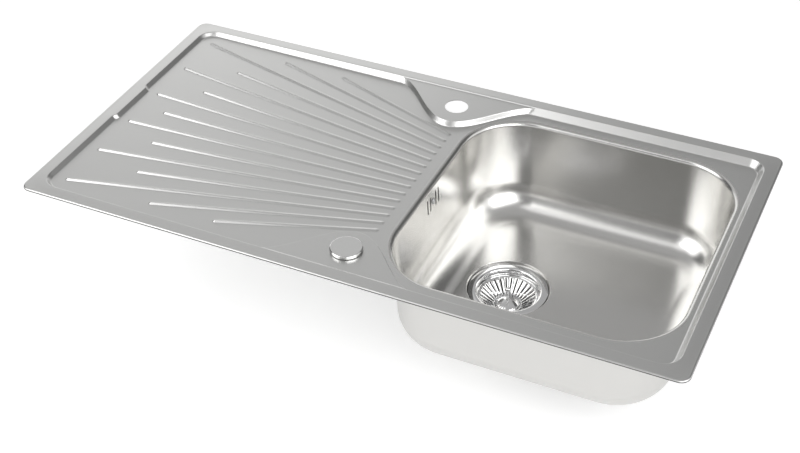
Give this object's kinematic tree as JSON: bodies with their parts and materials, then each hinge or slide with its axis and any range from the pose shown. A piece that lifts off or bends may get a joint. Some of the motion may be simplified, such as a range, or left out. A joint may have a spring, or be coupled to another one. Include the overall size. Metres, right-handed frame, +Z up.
{
  "type": "kitchen sink with drainboard",
  "caption": "Inset stainless steel kitchen sink with a deep bowl, a ribbed fan drainer, tap ledges, basket strainer waste and overflow.",
  "frame": {"origin": "centre of the worktop cut-out, in the plane of the worktop's top", "axes": "+X along the sink from the drainer to the bowl, +Y to the back where the tap stands, +Z up"},
  "size_m": [0.965, 0.5, 0.2496],
  "materials": {
    "satin_steel": "satin pressed stainless steel with a fine grain",
    "brushed_steel": "satin stainless steel, brushed inside the bowl",
    "polished_steel": "polished stainless steel",
    "galvanised_steel": "plain folded sheet steel",
    "clip_steel": "zinc-plated spring steel",
    "fastener_steel": "zinc-plated steel",
    "chrome": "bright chrome",
    "foam": "closed-cell foam strip",
    "black_rubber": "matt black rubber",
    "white_plastic": "matt white plastic",
    "hose_plastic": "ribbed grey-white hose",
    "damping_sheet": "bitumen damping sheet"
  },
  "bodies": {
    "sink": {"deck": "satin_steel", "bowl": "brushed_steel", "rim_seal": "foam", "rail_front": "galvanised_steel", "rail_back": "galvanised_steel", "clip_brackets": "clip_steel", "clip_pins": "clip_steel", "tap_hole_cap": "polished_steel", "cap_seal": "black_rubber", "cap_washer": "fastener_steel", "cap_wing_nut": "white_plastic", "overflow_gasket": "black_rubber", "overflow_housing": "white_plastic", "overflow_screw": "fastener_steel", "overflow_hose": "hose_plastic", "hose_collars": "white_plastic", "waste_flange": "chrome", "flange_seal": "black_rubber", "waste_gasket": "black_rubber", "waste_body": "white_plastic", "waste_screw": "fastener_steel", "sound_pad": "damping_sheet"},
    "clip_1": {"clip_arm_1": "clip_steel", "clamp_screw_1": "clip_steel"},
    "clip_2": {"clip_arm_2": "clip_steel", "clamp_screw_2": "clip_steel"},
    "clip_3": {"clip_arm_3": "clip_steel", "clamp_screw_3": "clip_steel"},
    "clip_4": {"clip_arm_4": "clip_steel", "clamp_screw_4": "clip_steel"},
    "clip_5": {"clip_arm_5": "clip_steel", "clamp_screw_5": "clip_steel"},
    "clip_6": {"clip_arm_6": "clip_steel", "clamp_screw_6": "clip_steel"},
    "clip_7": {"clip_arm_7": "clip_steel", "clamp_screw_7": "clip_steel"},
    "clip_8": {"clip_arm_8": "clip_steel", "clamp_screw_8": "clip_steel"},
    "basket": {"strainer_basket": "chrome", "basket_post": "chrome", "basket_plug": "black_rubber"}
  },
  "joints": [
    {"name": "clip_1_swing", "type": "hinge", "parent": "sink", "child": "clip_1", "pos_m": [-0.38986, -0.23, -0.01], "axis": [-1, 0, 0], "range_deg": [0, 145]},
    {"name": "clip_2_swing", "type": "hinge", "parent": "sink", "child": "clip_2", "pos_m": [-0.16019, -0.23, -0.01], "axis": [-1, 0, 0], "range_deg": [0, 145]},
    {"name": "clip_3_swing", "type": "hinge", "parent": "sink", "child": "clip_3", "pos_m": [0.0502, -0.23, -0.01], "axis": [-1, 0, 0], "range_deg": [0, 145]},
    {"name": "clip_4_swing", "type": "hinge", "parent": "sink", "child": "clip_4", "pos_m": [0.415, -0.23, -0.01], "axis": [-1, 0, 0], "range_deg": [0, 145]},
    {"name": "clip_5_swing", "type": "hinge", "parent": "sink", "child": "clip_5", "pos_m": [-0.38986, 0.23, -0.01], "axis": [1, 0, 0], "range_deg": [0, 145]},
    {"name": "clip_6_swing", "type": "hinge", "parent": "sink", "child": "clip_6", "pos_m": [-0.16019, 0.23, -0.01], "axis": [1, 0, 0], "range_deg": [0, 145]},
    {"name": "clip_7_swing", "type": "hinge", "parent": "sink", "child": "clip_7", "pos_m": [0.0502, 0.23, -0.01], "axis": [1, 0, 0], "range_deg": [0, 145]},
    {"name": "clip_8_swing", "type": "hinge", "parent": "sink", "child": "clip_8", "pos_m": [0.415, 0.23, -0.01], "axis": [1, 0, 0], "range_deg": [0, 145]},
    {"name": "basket_lift", "type": "slide", "parent": "sink", "child": "basket", "axis": [0, 0, 1], "range_m": [0, 0.206]}
  ]
}
